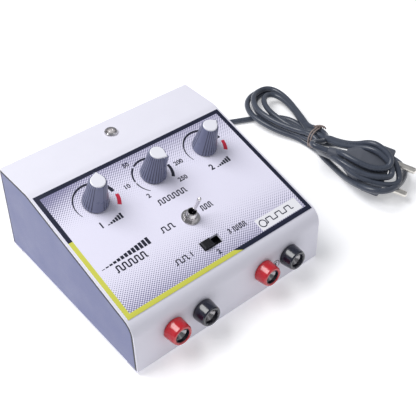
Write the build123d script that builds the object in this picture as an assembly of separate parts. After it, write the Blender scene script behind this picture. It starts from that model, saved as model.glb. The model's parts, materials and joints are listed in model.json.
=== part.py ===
from build123d import *
import math
import os

# Two-channel nerve stimulator in a sloping sheet-metal desk case, with its mains lead put up in a hank.
# Everything is drawn in case axes: X to the right, Y to the back from the case's front foot, Z up from the
# underside of the case. The last step moves it so that the origin is on the table, under the middle of
# the instrument. All sizes are in millimetres.

# ---------------------------------------------------------------- case
CASE_WIDTH = 150.0
CASE_DEPTH = 140.5
CASE_HEIGHT = 66.2
STRIP_DEPTH = 32.9            # level strip along the top, behind the sloping panel
FRONT_HEIGHT = 38.5           # where the front face would meet the panel if the bend were sharp
FRONT_LEAN = 2.6              # how far the front face leans back over that height
SHEET = 1.0
FRONT_BEND = 12.0             # outer radius of the bend between front and panel
CREASE_BEND = 12.0            # outer radius of the shallow bend between panel and strip
CORNER_BEND = 2.0             # outer radius of the cover's other bends
COVER_WIDTH = 149.6
FLANGE = 12.0                 # width of the side walls' inward flanges
RETURN_FLANGE = 11.0          # depth of the cover's flanges under the tray
SIDE_BEND = 2.0               # outer radius of the side walls' bends
FOOT_RADIUS = 5.0
FOOT_HEIGHT = 2.5
FOOT_PLACES = [(sx * 56.0, y) for sx in (-1, 1) for y in (20.0, 121.0)]
SCREW_PLACES = [(sx * 60.0, y) for sx in (-1, 1) for y in (5.6, 134.9)]
CLEARANCE_DROP = 1.5          # the table is this far below the case

# ---------------------------------------------------------------- panel print and controls
# Places on the panel are (x, distance down the slope from the crease).
LABEL_WIDTH = 146.6
LABEL_TOP = 4.6
LABEL_BOTTOM = 102.5
LABEL_THICK = 0.25
BADGE = (50.5, 94.6, 35.0, 9.0)       # x, down, width, height
BADGE_THICK = 0.15

KNOBS = {                     # place, and the way the pointer looks, clockwise from straight up the slope
    "channel_1": (-43.0, 26.6, 24.0),
    "rate": (0.6, 27.2, 148.0),
    "channel_2": (43.8, 26.6, 76.0),
}
KNOB_LIFT = 1.1
KNOB_HEIGHT = 20.2
KNOB_PROFILE = [(8.5, 0.0), (8.45, 1.6), (7.7, 5.6), (6.8, 11.0), (5.75, 18.6), (5.3, 20.2)]
POINTER_REACH = 7.1
POINTER_HALF = 1.3            # half the width of the rib under the pointer
CAP_RADIUS = 4.75
CAP_SEAT = 1.0
CAP_PROUD = 0.9
SHAFT_RADIUS = 3.0
SHAFT_BORE = 3.05
SHAFT_FLAT = 1.5              # the shaft's flat is this far from its axis
SHAFT_TOP = 16.5
BUSHING_TOP = 5.0
POT_RADIUS = 8.25
POT_DEPTH = 9.0
BUSHING_RADIUS = 3.5

TOGGLE = (0.3, 66.5)
TOGGLE_LEAN = 11.5            # the lever's lean either side of upright
SLIDE = (-0.3, 87.7)
SLIDE_OPENING = (14.8, 6.6)
SLIDE_TRAVEL = 7.2
LAMP_PLACE = (0.5, 126.0)

# ---------------------------------------------------------------- output sockets on the front
SOCKET_XS = (-47.0, -25.0, 25.0, 47.0)
SOCKET_UP = 20.0
SOCKET_LENGTH = 9.0
SOCKET_BORE = 2.0
SOCKET_BORE_LENGTH = 12.0

# ---------------------------------------------------------------- rear fittings
REAR_UP = 24.0
WIRE_APART = 1.6              # mains wires above and below the cord's axis
CORD_UP = 11.0
ROCKER_X = -42.0
FUSE_X = -8.0
CORD_X = 35.0
ROCKER_TILT = 11.0
FUSE_CAP_REACH = 10.5

# ---------------------------------------------------------------- mains lead
CORD = 4.5
TABLE = -CLEARANCE_DROP
ON_TABLE = TABLE + CORD / 2 + 0.1
RELIEF_LENGTH = 20.0
LEAD_POINTS = [               # the lead's route from the strain relief to the hank
    (CORD_X, CASE_DEPTH + RELIEF_LENGTH, CORD_UP),
    (CORD_X, 169.5, CORD_UP),
    (37.4, 177.9, 9.0),
    (42.4, 184.8, 6.0),
    (49.6, 189.5, 3.3),
    (58.2, 191.5, 1.4),
    (70.0, 190.8, ON_TABLE),
    (81.5, 186.0, ON_TABLE),
    (92.0, 178.0, ON_TABLE),
    (102.5, 168.5, ON_TABLE),
    (114.5, 159.0, ON_TABLE),
    (127.5, 151.0, ON_TABLE),
    (142.0, 144.5, ON_TABLE),
]
TIE = (164.0, 86.0)
TIE_SIZE = 15.6               # width and height of the bundle inside the wire tie
TIE_BAND = 1.4
HANK_CORNER = 0.36            # corner radius of the hank's sections over their height
HANK_SECTIONS = [             # y, middle x, width, height above the table
    (171.0, 175.0, 24.0, 12.0),
    (160.0, 168.5, 46.0, 13.5),
    (130.0, 163.0, 50.0, 15.0),
    (104.0, 163.5, 33.0, 16.0),
    (TIE[1], TIE[0], TIE_SIZE, TIE_SIZE),
    (68.0, 166.0, 36.0, 24.0),
    (44.0, 168.5, 62.0, 31.0),
    (16.0, 170.0, 64.0, 34.0),
    (0.0, 167.0, 44.0, 28.0),
]
PLUG_FACE = (165.9, 17.7, 13.6)       # middle of the plug's pin face
PLUG_YAW = -61.0              # the way the pins point, from +X towards +Y
PLUG_PITCH = -10.0
PLUG_ROLL = 34.6              # the pins' plane, tipped up from level
PLUG_WIDTH = 36.0
PLUG_THICK = 14.0
PLUG_CORNER = 4.0
PLUG_EDGE = 0.8
PLUG_TAPER = [                # depth behind the pin face, width, thickness
    (12.8, PLUG_WIDTH, PLUG_THICK),
    (22.0, 27.0, 13.4),
    (33.0, 13.0, 11.6),
]
PLUG_TAIL = (5.2, 3.1, 13.0)  # radius at the plug, radius at the cord, length
PIN_RADIUS = 2.4
PIN_LENGTH = 19.0
PIN_TIP = 1.6
PIN_SPACING = 19.0

# ---------------------------------------------------------------- planes
SLOPE = math.atan2(CASE_HEIGHT - FRONT_HEIGHT, CASE_DEPTH - STRIP_DEPTH - FRONT_LEAN)
LEAN = math.atan2(FRONT_LEAN, FRONT_HEIGHT)
PANEL = Plane(origin=(0, CASE_DEPTH - STRIP_DEPTH, CASE_HEIGHT), x_dir=(1, 0, 0),
              z_dir=(0, -math.sin(SLOPE), math.cos(SLOPE)))
FRONT = Plane(origin=(0, 0, 0), x_dir=(1, 0, 0), z_dir=(0, -math.cos(LEAN), math.sin(LEAN)))
STRIP = Plane(origin=(0, 0, CASE_HEIGHT), x_dir=(1, 0, 0), z_dir=(0, 0, 1))
REAR = Plane(origin=(0, CASE_DEPTH, 0), x_dir=(-1, 0, 0), z_dir=(0, 1, 0))

BASE = (Align.CENTER, Align.CENTER, Align.MIN)
nodes = {}
bodies = {}


def add(name, shape, body="root"):
    """Keeps a finished node, with the rigid body that it belongs to."""
    nodes[name] = shape
    bodies.setdefault(body, []).append(name)


def on_panel(place, height=0.0):
    return PANEL.location * Pos(place[0], -place[1], height)


def on_front(x, height=0.0):
    return FRONT.location * Pos(x, SOCKET_UP, height)


def on_rear(x, height=0.0, up=REAR_UP):
    return REAR.location * Pos(-x, up, height)


def disc(radius, low, high):
    return Pos(0, 0, low) * Cylinder(radius, high - low, align=BASE)


def block(width, height, low, high):
    return Pos(0, 0, low) * Box(width, height, high - low, align=BASE)


def turned(points):
    """A solid of revolution about Z from its half outline, given as (radius, height) points."""
    face = make_face(Polyline([(r, 0, h) for r, h in points], close=True))
    return revolve(face, Axis.Z)


def hexagon(across_flats, bore, low, high):
    nut = extrude(RegularPolygon(across_flats / 2, 6, major_radius=False), high - low)
    return Pos(0, 0, low) * (nut - Cylinder(bore, high - low, align=BASE))


def group(parts):
    """Identical pieces that stay separate solids in one node."""
    return Compound([solid for part in parts for solid in part.solids()])


# ---------------------------------------------------------------- case sheets
def outline(inset, corner, bend):
    """The case's side outline, moved inwards by inset, with the given outside corner and bend radii."""
    corners = [(0, 0), (FRONT_LEAN, FRONT_HEIGHT), (CASE_DEPTH - STRIP_DEPTH, CASE_HEIGHT),
               (CASE_DEPTH, CASE_HEIGHT), (CASE_DEPTH, 0)]
    moved = []
    for i, (y, z) in enumerate(corners):
        before = Vector(y, z) - Vector(*corners[i - 1])
        after = Vector(*corners[(i + 1) % len(corners)]) - Vector(y, z)
        normals = [Vector(edge.Y, -edge.X).normalized() for edge in (before, after)]
        step = (normals[0] + normals[1]) * (inset / (1 + normals[0].dot(normals[1])))
        moved.append((y + step.X, z + step.Y))
    radii = [corner, bend, bend, corner, corner]
    return make_face(FilletPolyline(*moved, radius=radii, close=True))


def prism(face, half_width):
    return extrude(Plane.YZ * face, half_width, both=True)


def slab(x_low, x_high, y_low, y_high, z_low, z_high):
    size = (x_high - x_low, y_high - y_low, z_high - z_low)
    return Pos(x_low, y_low, z_low) * Box(*size, align=(Align.MIN, Align.MIN, Align.MIN))


def end_edges(solid, half_width):
    """The edges around a prism's two end faces."""
    return [e for e in solid.edges() if abs(abs(e.center().X) - half_width) < 0.01]


def make_cover():
    half = COVER_WIDTH / 2
    cover = prism(outline(0, CORNER_BEND, FRONT_BEND), half)
    cover -= prism(outline(SHEET, CORNER_BEND - SHEET, FRONT_BEND - SHEET), half + 1)
    cover -= slab(-half - 1, half + 1, RETURN_FLANGE, CASE_DEPTH - RETURN_FLANGE, -1, SHEET + 0.5)
    cutters = [on_panel(place[:2]) * disc(BUSHING_RADIUS + 0.1, -3, 2) for place in KNOBS.values()]
    cutters.append(on_panel(TOGGLE) * disc(3.1, -3, 2))
    cutters.append(on_panel(SLIDE) * block(*SLIDE_OPENING, -3, 2))
    cutters.append(STRIP.location * Pos(*LAMP_PLACE) * disc(4.0, -3, 2))
    cutters += [on_front(x) * disc(4.0, -3, 2) for x in SOCKET_XS]
    cutters.append(on_rear(ROCKER_X) * block(12.9, 19.0, -3, 2))
    cutters.append(on_rear(FUSE_X) * disc(6.1, -3, 2))
    cutters.append(on_rear(CORD_X, up=CORD_UP) * disc(5.5, -3, 2))
    cutters += [Pos(x, y, 0) * disc(1.7, -1, 1.5) for x, y in SCREW_PLACES]
    return cover - cutters


def make_tray():
    half = CASE_WIDTH / 2
    corner = SIDE_BEND + 1.2
    outside = prism(outline(SHEET, corner, FRONT_BEND - SHEET), half)
    outside = fillet(end_edges(outside, half), SIDE_BEND)
    inside = prism(outline(2 * SHEET, corner - SHEET, FRONT_BEND - 2 * SHEET), half - SHEET)
    inside = fillet(end_edges(inside, half - SHEET), SIDE_BEND - SHEET)
    tray = outside - inside
    tray -= slab(FLANGE - half, half - FLANGE, -1, CASE_DEPTH + 1, 2 * SHEET + corner, CASE_HEIGHT + 1)
    tray -= slab(FLANGE - half, half - FLANGE, -1, 2 * SHEET + corner, 2 * SHEET, 10)
    tray -= slab(FLANGE - half, half - FLANGE, CASE_DEPTH - 2 * SHEET - corner, CASE_DEPTH + 1, 2 * SHEET, 10)
    tray -= [Pos(x, y, 0) * disc(1.5, 0, 4) for x, y in SCREW_PLACES]
    return tray


def make_label():
    """The printed overlay on the panel, with holes for what stands through it."""
    label = prism(outline(-LABEL_THICK, CORNER_BEND, FRONT_BEND + LABEL_THICK), LABEL_WIDTH / 2)
    label -= prism(outline(0, CORNER_BEND, FRONT_BEND), LABEL_WIDTH)
    length = LABEL_BOTTOM - LABEL_TOP
    label &= on_panel((0, (LABEL_TOP + LABEL_BOTTOM) / 2)) * block(LABEL_WIDTH, length, -3, 3)
    label -= [on_panel(place[:2]) * disc(BUSHING_RADIUS + 0.1, -3, 2) for place in KNOBS.values()]
    label -= on_panel(TOGGLE) * disc(3.1, -3, 2)
    return label - on_panel(SLIDE) * block(*SLIDE_OPENING, -3, 2)


def make_screw():
    """Pan-head screw, standing head down, its head under z = 0."""
    head = turned([(0, -1.25), (1.6, -1.25), (2.75, -0.5), (2.75, 0), (0, 0)])
    screw = head + disc(1.5, -0.2, 7.0)
    for turn in (0, 90):
        screw -= Rot(0, 0, turn) * block(2.6, 0.6, -2.0, -0.6)
    return screw


add("base_tray", make_tray())
add("top_cover", make_cover())
add("rubber_feet", group([Pos(x, y, SHEET - FOOT_HEIGHT) * Cylinder(FOOT_RADIUS, FOOT_HEIGHT, align=BASE)
                          for x, y in FOOT_PLACES]))
add("case_screws", group([Pos(x, y, 0) * make_screw() for x, y in SCREW_PLACES]))
add("panel_label", make_label())
add("panel_badge", on_panel(BADGE[:2], LABEL_THICK) * block(*BADGE[2:], 0, BADGE_THICK))


# ---------------------------------------------------------------- level controls
def pot_body():
    """Carbon-track potentiometer: case, threaded bushing and three terminals."""
    body = disc(POT_RADIUS, -SHEET - POT_DEPTH, -SHEET)
    body += disc(BUSHING_RADIUS, -SHEET, BUSHING_TOP)
    body -= disc(SHAFT_BORE, -6.5, BUSHING_TOP + 1)
    for x in (-5.0, 0.0, 5.0):
        body += Pos(x, -POT_RADIUS - 2.0, -6.0) * Box(2.0, 7.0, 0.8)
    return body


def pot_shaft():
    """Round shaft with a flat for the knob's grip."""
    shaft = disc(SHAFT_RADIUS, -6.0, SHAFT_TOP)
    return shaft - Pos(0, SHAFT_FLAT + 3.0, BUSHING_TOP + 0.3) * Box(8, 6, 20, align=BASE)


def teardrop(radius, reach, height):
    """A flat drop: a disc drawn out to a point on the +Y side."""
    angle = math.acos(radius / reach)
    side = (radius * math.sin(angle), radius * math.cos(angle))
    tip = Polygon((-side[0], side[1]), side, (0, reach), align=None)
    return extrude(Circle(radius) + tip, height)


def knob_body():
    """Tapered fluted knob with its pointer on the +Y side and a hollow for the nut underneath."""
    body = turned([(0, 0)] + KNOB_PROFILE + [(0, KNOB_HEIGHT)])
    rib = make_face(Polyline([(0, 4.0, 0), (0, 8.95, 0), (0, 8.9, 1.4), (0, 7.35, 11.0),
                              (0, POINTER_REACH + 0.25, 18.8), (0, POINTER_REACH - 0.2, KNOB_HEIGHT),
                              (0, 4.0, KNOB_HEIGHT)], close=True))
    body += extrude(rib, POINTER_HALF, both=True)
    top = Vector(5.75 + 0.12, 0, KNOB_HEIGHT + 0.6)
    foot = Vector(8.25 + 0.2, 0, 2.9)
    slant = math.degrees(math.atan2(foot.X - top.X, top.Z - foot.Z))
    groove = Pos(foot.X, 0, foot.Z) * Rot(0, -slant, 0) * Cylinder(0.5, (top - foot).length, align=BASE)
    groove += Pos(foot.X, 0, foot.Z) * Sphere(0.5)
    turns = [90 + side * (22 + 13 * k) for side in (-1, 1) for k in range(11)]
    body -= [Rot(0, 0, turn) * groove for turn in turns]
    body -= disc(6.6, -1, 4.6)
    bore = disc(SHAFT_RADIUS, 4.0, SHAFT_TOP - KNOB_LIFT)
    body -= bore - Pos(0, SHAFT_FLAT + 3.0, 0) * Box(8, 6, 30, align=BASE)
    return body - Pos(0, 0, KNOB_HEIGHT - CAP_SEAT) * teardrop(CAP_RADIUS, POINTER_REACH - 0.35, 5)


def knob_cap():
    """The light insert in the knob's end, a little domed."""
    cap = teardrop(CAP_RADIUS, POINTER_REACH - 0.35, CAP_SEAT + CAP_PROUD)
    return fillet(cap.edges().group_by(Axis.Z)[-1], 0.6)


for name, (x, down, turn) in KNOBS.items():
    at = on_panel((x, down))
    add(f"pot_{name}", at * Rot(0, 0, 180) * pot_body())
    turned_at = at * Rot(0, 0, -turn)
    add(f"shaft_{name}", turned_at * pot_shaft(), f"control_{name}")
    add(f"knob_{name}", turned_at * Pos(0, 0, KNOB_LIFT) * knob_body(), f"control_{name}")
    cap_at = turned_at * Pos(0, 0, KNOB_LIFT + KNOB_HEIGHT - CAP_SEAT)
    add(f"cap_{name}", cap_at * knob_cap(), f"control_{name}")

PANEL_PLACES = [place[:2] for place in KNOBS.values()]
WASHER_TOP = LABEL_THICK + 0.6
add("pot_washers", group([on_panel(p) * (disc(6.0, LABEL_THICK, WASHER_TOP) - disc(BUSHING_RADIUS, 0, 3))
                          for p in PANEL_PLACES]))
add("pot_nuts", group([on_panel(p) * hexagon(10.0, BUSHING_RADIUS, WASHER_TOP, WASHER_TOP + 2.0)
                       for p in PANEL_PLACES]))


# ---------------------------------------------------------------- toggle switch
def toggle_body():
    """Miniature toggle switch: block, threaded bushing with a funnel for the lever, and terminals."""
    body = block(13.0, 7.9, -11.0, -SHEET) + disc(3.0, -SHEET, 6.6)
    body -= turned([(0, -6.0), (2.6, -6.0), (1.75, -0.6), (2.05, 1.0), (1.75, 2.4), (2.6, 6.7), (0, 6.7)])
    body -= Pos(0, 0, 1.0) * Sphere(2.05)
    for x in (-4.7, 0.0, 4.7):
        body += Pos(x, 0, 0) * block(0.8, 2.0, -15.0, -11.0)
    return body


def toggle_lever():
    """Plated lever on a ball, thicker at its round tip."""
    lever = turned([(0, -4.0), (0.8, -4.0), (1.0, 0), (1.0, 5.0), (1.3, 16.2), (1.05, 17.2), (0.5, 17.7),
                    (0, 17.8)])
    return lever + Sphere(1.95)


toggle_at = on_panel(TOGGLE)
lever_at = toggle_at * Pos(0, 0, 1.0) * Rot(0, TOGGLE_LEAN, 0)
add("toggle_body", toggle_at * toggle_body())
add("toggle_washer", toggle_at * (disc(6.0, LABEL_THICK, WASHER_TOP) - disc(3.0, 0, 3)))
add("toggle_nut", toggle_at * hexagon(8.0, 3.0, WASHER_TOP, WASHER_TOP + 2.0))
add("toggle_lever", lever_at * toggle_lever(), "toggle_lever")


# ---------------------------------------------------------------- three-position slide switch
SLOT = (13.8, 5.5)


def slide_body():
    """Switch housing below its face plate, open on top for the slider's foot."""
    housing = block(22.0, 8.4, -9.0, -SHEET - 0.7)
    housing -= block(16.6, 6.6, -5.6, 0)
    for x in (-6.0, -2.0, 2.0, 6.0):
        housing += Pos(x, 0, 0) * block(0.8, 2.4, -12.5, -9.0)
    return housing


def slide_plate():
    return block(26.0, 9.4, -SHEET - 0.7, -SHEET) - block(*SLOT, -3, 0)


def slide_knob():
    """The slider: a foot under the plate and a ribbed finger piece through it."""
    finger = block(SLOT[0] - SLIDE_TRAVEL - 0.2, SLOT[1] - 0.3, -2.0, 2.9)
    finger = chamfer(finger.edges().group_by(Axis.Z)[-1], 0.4)
    for x in (-1.8, 0.0, 1.8):
        finger -= Pos(x, 0, 2.9) * Box(0.6, 6.0, 1.0)
    return finger + block(8.8, 6.3, -4.6, -1.9)


slide_at = on_panel(SLIDE)
add("slide_switch_body", slide_at * slide_body())
add("slide_switch_plate", slide_at * slide_plate())
add("slide_switch_knob", slide_at * Pos(-SLIDE_TRAVEL / 2, 0, 0) * slide_knob(), "slide_knob")


# ---------------------------------------------------------------- pilot lamp
def lamp_bezel():
    """Turned bezel with a bright collar and a sleeve through the strip."""
    return turned([(2.6, -7.0), (3.9, -7.0), (3.9, 0), (4.6, 0), (4.6, 0.5), (4.3, 1.3), (3.8, 1.8),
                   (3.3, 1.8), (2.6, 0.6)])


def lamp_lens():
    """Clear lamp with a flange at its foot and two leads."""
    lamp = disc(2.5, -7.0, -0.4) + Pos(0, 0, -0.4) * Sphere(2.5)
    lamp += disc(2.9, -8.0, -7.0)
    for x in (-1.27, 1.27):
        lamp += Pos(x, 0, 0) * block(0.5, 0.5, -16.0, -8.0)
    return lamp


lamp_at = STRIP.location * Pos(*LAMP_PLACE)
add("lamp_bezel", lamp_at * lamp_bezel())
add("lamp_lens", lamp_at * lamp_lens())


# ---------------------------------------------------------------- output sockets
def socket_head():
    """Insulated head with a deep recess, its shank through the front."""
    return turned([(3.0, -SHEET), (3.95, -SHEET), (3.95, 0), (7.1, 0), (7.6, 0.5), (7.5, 2.2), (6.85, 8.2),
                   (6.3, SOCKET_LENGTH), (5.3, SOCKET_LENGTH), (4.9, 8.5), (4.7, 5.2), (4.7, 3.0),
                   (3.0, 3.0)])


def socket_contact():
    """Turned contact: a countersunk mouth, the 4 mm bore and the threaded tail."""
    mouth = 6.6
    depth = mouth - 2.2
    end = depth - SOCKET_BORE_LENGTH
    return turned([(0, -15.0), (3.0, -15.0), (3.0, 3.0), (4.7, 3.0), (4.7, mouth), (4.3, mouth),
                   (SOCKET_BORE, depth), (SOCKET_BORE, end), (0, end)])


for number, x in enumerate(SOCKET_XS, 1):
    add(f"socket_head_{number}", on_front(x) * socket_head())
    add(f"socket_contact_{number}", on_front(x) * socket_contact())
add("socket_washers", group([on_front(x) * (disc(7.0, -SHEET - 2.0, -SHEET) - disc(3.0, -9, 0))
                             for x in SOCKET_XS]))
add("socket_nuts", group([on_front(x) * hexagon(10.0, 3.0, -SHEET - 4.5, -SHEET - 2.0)
                          for x in SOCKET_XS]))


# ---------------------------------------------------------------- rear fittings
ROCKER_PIVOT = -2.0


def rocker_housing():
    """Snap-in switch housing with a well for the rocker, and two blade terminals."""
    housing = block(15.0, 21.0, 0, 1.8) + block(12.7, 18.8, -14.0, 0)
    housing = chamfer(housing.edges().group_by(Axis.Z)[-1], 0.6)
    housing -= block(10.7, 17.4, -8.0, 3)
    for y in (-5.0, 5.0):
        housing += Pos(0, y, 0) * block(6.3, 0.8, -22.0, -14.0)
    return housing


def rocker():
    """Two-winged rocker, drawn level about its pivot at the origin."""
    outline_points = [(0, -7.3, -0.6), (0, -7.5, 4.6), (0, -3.6, 3.3), (0, 0, 2.9), (0, 3.6, 3.3),
                      (0, 7.5, 4.6), (0, 7.3, -0.6), (0, 0, -4.0)]
    return extrude(make_face(Polyline(outline_points, close=True)), 5.2, both=True)


def fuse_holder():
    """Panel fuse holder: flange, barrel with its bore, and two solder tags."""
    holder = turned([(4.6, 2.2), (7.6, 2.2), (7.6, 0), (6.0, 0), (6.0, -30.0), (0, -30.0), (0, -28.0),
                     (4.6, -28.0)])
    holder += Pos(0, 0, -32.0) * Box(0.8, 3.0, 6.0)
    return holder + Pos(7.4, 0, -22.0) * Box(3.6, 3.0, 0.8)


def fuse_cap():
    """Bayonet cap with a slot, its stem inside the barrel."""
    cap = turned([(0, 2.3), (6.2, 2.3), (6.2, 8.5), (5.4, FUSE_CAP_REACH), (0, FUSE_CAP_REACH)])
    cap += disc(4.3, -4.0, 2.4)
    return cap - Pos(0, 0, FUSE_CAP_REACH) * Box(13, 1.4, 2.4)


def relief():
    """Moulded strain relief: a flange, a waist in the case's hole and a tapering ribbed nose."""
    body = turned([(0, -4.0), (6.3, -4.0), (6.3, -SHEET), (5.4, -SHEET), (5.4, 0), (7.2, 0), (7.2, 2.0),
                   (5.4, 2.4), (3.3, RELIEF_LENGTH), (0, RELIEF_LENGTH)])
    for k in range(4):
        height = 4.6 + 3.8 * k
        body -= turned([(3.1, height), (8, height), (8, height + 1.3), (3.1, height + 1.3)])
    return body


add("rocker_housing", on_rear(ROCKER_X) * rocker_housing())
rocker_at = on_rear(ROCKER_X, ROCKER_PIVOT) * Rot(ROCKER_TILT, 0, 0)
add("power_rocker", rocker_at * rocker(), "power_rocker")
add("fuse_holder", on_rear(FUSE_X) * fuse_holder())
add("fuse_cap", on_rear(FUSE_X) * fuse_cap(), "fuse_cap")
add("fuse", on_rear(FUSE_X) * disc(2.6, -24.2, -4.2), "fuse_carrier")
add("strain_relief", on_rear(CORD_X, up=CORD_UP) * relief())

# ---------------------------------------------------------------- inside
FLOOR = 2 * SHEET
CORE = (42.0, 18.0, 35.0)
CORE_AT = Pos(-40.0, 78.0, FLOOR)
WINDOW = (7.0, 21.0)
BOARD = (74.0, 78.0, 1.6)
BOARD_AT = Pos(28.0, 74.0, FLOOR + 8.0)
BOARD_TOP = FLOOR + 8.0 + BOARD[2]
WIRE_RADIUS = 0.9
WIRE_BEND = 3.0
BOARD_HOLES = [(sx * 33.0, sy * 35.0) for sx in (-1, 1) for sy in (-1, 1)]


def transformer_core():
    core = Box(*CORE, align=BASE)
    for side in (-1, 1):
        core -= Pos(side * 10.5, 0, 7.0) * Box(WINDOW[0], CORE[1] + 2, WINDOW[1], align=BASE)
    return core


def transformer_coil():
    """Winding on its bobbin, around the core's middle limb."""
    coil = Pos(0, 0, 7.2) * Box(27.4, 29.0, 20.6, align=BASE)
    return coil - Pos(0, 0, 7.0) * Box(14.2, CORE[1] + 0.2, WINDOW[1], align=BASE)


def transformer_bracket():
    """Strap over the core with two screwed feet."""
    thick = 1.2
    strap = Box(CORE[0] + 2 * thick, 14.0, CORE[2] + thick, align=BASE)
    strap -= Pos(0, 0, -1) * Box(CORE[0], 20.0, CORE[2] + 1, align=BASE)
    for side in (-1, 1):
        foot = Pos(side * (CORE[0] / 2 + 5.5), 0, 0) * Box(11.0, 14.0, thick, align=BASE)
        strap += foot - Pos(side * (CORE[0] / 2 + 6.0), 0, 0) * disc(1.6, -1, 3)
    return strap


def bracket_screw():
    return disc(2.8, 1.2, 3.0) + disc(1.6, 0.0, 1.3)


def standoff():
    return disc(3.0, 0, 8.0) + disc(1.4, 8.0, 11.0)


def circuit_board():
    board = Box(*BOARD, align=BASE)
    return board - [Pos(x, y, 0) * disc(1.45, -1, 3) for x, y in BOARD_HOLES]


def on_board(x, y):
    return BOARD_AT * Pos(x, y, BOARD[2])


def output_transformer():
    return block(20.0, 10.0, 0, 17.0) + block(13.0, 16.0, 3.0, 14.0)


def chip():
    """Dual in-line circuit with its two rows of legs."""
    body = block(9.8, 6.4, 0.6, 4.0)
    for k in range(4):
        for side in (-1, 1):
            body += Pos(-3.81 + 2.54 * k, side * 3.6, 0) * block(0.5, 0.9, 0, 2.4)
    return body


def wire(*points):
    path = FilletPolyline(*points, radius=WIRE_BEND)
    start = Plane(origin=path @ 0, z_dir=path % 0)
    return sweep(start * Circle(WIRE_RADIUS), path)


def output_wire(x, board_x):
    """From a socket's tail to its place at the front of the board."""
    tail = on_front(x, -15.0).position
    start_y = tail.Y + 0.07
    return wire((x, start_y, tail.Z), (x, start_y + 10.0, tail.Z), (board_x, 40.0, tail.Z + 3.0),
                (board_x, 40.0, BOARD_TOP))


add("transformer_core", CORE_AT * transformer_core())
add("transformer_coil", CORE_AT * transformer_coil())
add("transformer_bracket", CORE_AT * transformer_bracket())
add("transformer_screws", group([CORE_AT * Pos(side * (CORE[0] / 2 + 6.0), 0, 0) * bracket_screw()
                                 for side in (-1, 1)]))
add("board_standoffs", group([BOARD_AT * Pos(x, y, -8.0) * standoff() for x, y in BOARD_HOLES]))
add("circuit_board", BOARD_AT * circuit_board())
add("board_capacitors", group([on_board(x, y) * disc(r, 0, h) for x, y, r, h in
                               ((26, 26, 5.0, 20.0), (12, 27, 5.0, 20.0), (-24, 12, 4.0, 11.0),
                                (-24, -22, 3.15, 11.0))]))
add("board_chips", group([on_board(x, y) * chip() for x, y in ((-8, 12), (8, 4), (-8, -8))]))
add("output_transformers", group([on_board(x, -22) * output_transformer() for x in (-2, 22)]))
add("wiring", group([
    wire((CORD_X, 136.5, CORD_UP + WIRE_APART), (CORD_X, 126.0, CORD_UP + WIRE_APART),
         (20.0, 121.0, 7.0), (ROCKER_X, 120.5, 7.0), (ROCKER_X, 120.5, 18.6)),
    wire((ROCKER_X, 120.5, 29.4), (ROCKER_X, 120.5, 40.0), (FUSE_X, 107.0, 40.0), (FUSE_X, 107.0, 25.5)),
    wire((FUSE_X - 9.2, 118.5, REAR_UP), (-27.0, 118.5, REAR_UP), (-38.0, 103.0, 20.0), (-38.0, 92.5, 20.0)),
    wire((CORD_X, 136.5, CORD_UP - WIRE_APART), (CORD_X, 130.5, CORD_UP - WIRE_APART),
         (20.0, 128.0, 4.5), (-50.0, 126.0, 4.5), (-50.0, 106.0, 18.0), (-50.0, 92.5, 18.0)),
    wire((-40.0, 63.5, 20.0), (-40.0, 52.0, 20.0), (-6.0, 50.0, 22.0), (-6.0, 50.0, BOARD_TOP)),
    *[output_wire(x, board_x) for x, board_x in zip(SOCKET_XS, (4.0, 11.0, 30.0, 40.0))],
]))


# ---------------------------------------------------------------- mains lead
def arc_radii(points):
    """Each corner's arc takes 0.45 of its shorter run, and the radius follows from the turn."""
    radii = []
    for before, here, after in zip(points, points[1:], points[2:]):
        back = Vector(*here) - Vector(*before)
        on = Vector(*after) - Vector(*here)
        half_turn = math.radians(back.get_angle(on)) / 2
        radii.append(0.45 * min(back.length, on.length) / math.tan(half_turn))
    return radii


def lead_tube():
    radii = arc_radii(LEAD_POINTS)
    path = FilletPolyline(*LEAD_POINTS, radius=radii)
    start = Plane(origin=path @ 0, z_dir=path % 0)
    tube = sweep(start * Circle(CORD / 2), path)
    section = math.pi * (CORD / 2) ** 2
    print("lead: arc radii", [round(r, 1) for r in radii])
    print("lead: length", round(path.length, 1), "volume over section x length",
          round(tube.volume / (section * path.length), 4))
    return tube


def hank_section(y, x, width, height):
    plane = Plane(origin=(x, y, TABLE + height / 2), x_dir=(1, 0, 0), z_dir=(0, -1, 0))
    return plane * RectangleRounded(width, height, HANK_CORNER * height)


def hank():
    return loft([hank_section(*row) for row in HANK_SECTIONS], ruled=True)


def tie():
    """Wire tie's band round the hank's waist."""
    plane = Plane(origin=(TIE[0], TIE[1] + TIE_BAND, TABLE + TIE_SIZE / 2), x_dir=(1, 0, 0), z_dir=(0, -1, 0))
    inside = TIE_SIZE - TIE_BAND
    outline = RectangleRounded(TIE_SIZE + TIE_BAND, TIE_SIZE, HANK_CORNER * TIE_SIZE)
    band = outline - RectangleRounded(inside, inside - TIE_BAND, HANK_CORNER * inside)
    return extrude(plane * band, 2 * TIE_BAND)


def plug_plane():
    """The plug's pin face: Z is the way the pins point, X runs from the lower pin to the upper one."""
    yaw, pitch, roll = (math.radians(a) for a in (PLUG_YAW, PLUG_PITCH, PLUG_ROLL))
    ahead = Vector(math.cos(yaw) * math.cos(pitch), math.sin(yaw) * math.cos(pitch), math.sin(pitch))
    level = Vector(-math.sin(yaw), math.cos(yaw), 0)
    across = level * math.cos(roll) + ahead.cross(level) * math.sin(roll)
    return Plane(origin=PLUG_FACE, x_dir=across, z_dir=ahead)


PLUG = plug_plane().location


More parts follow.
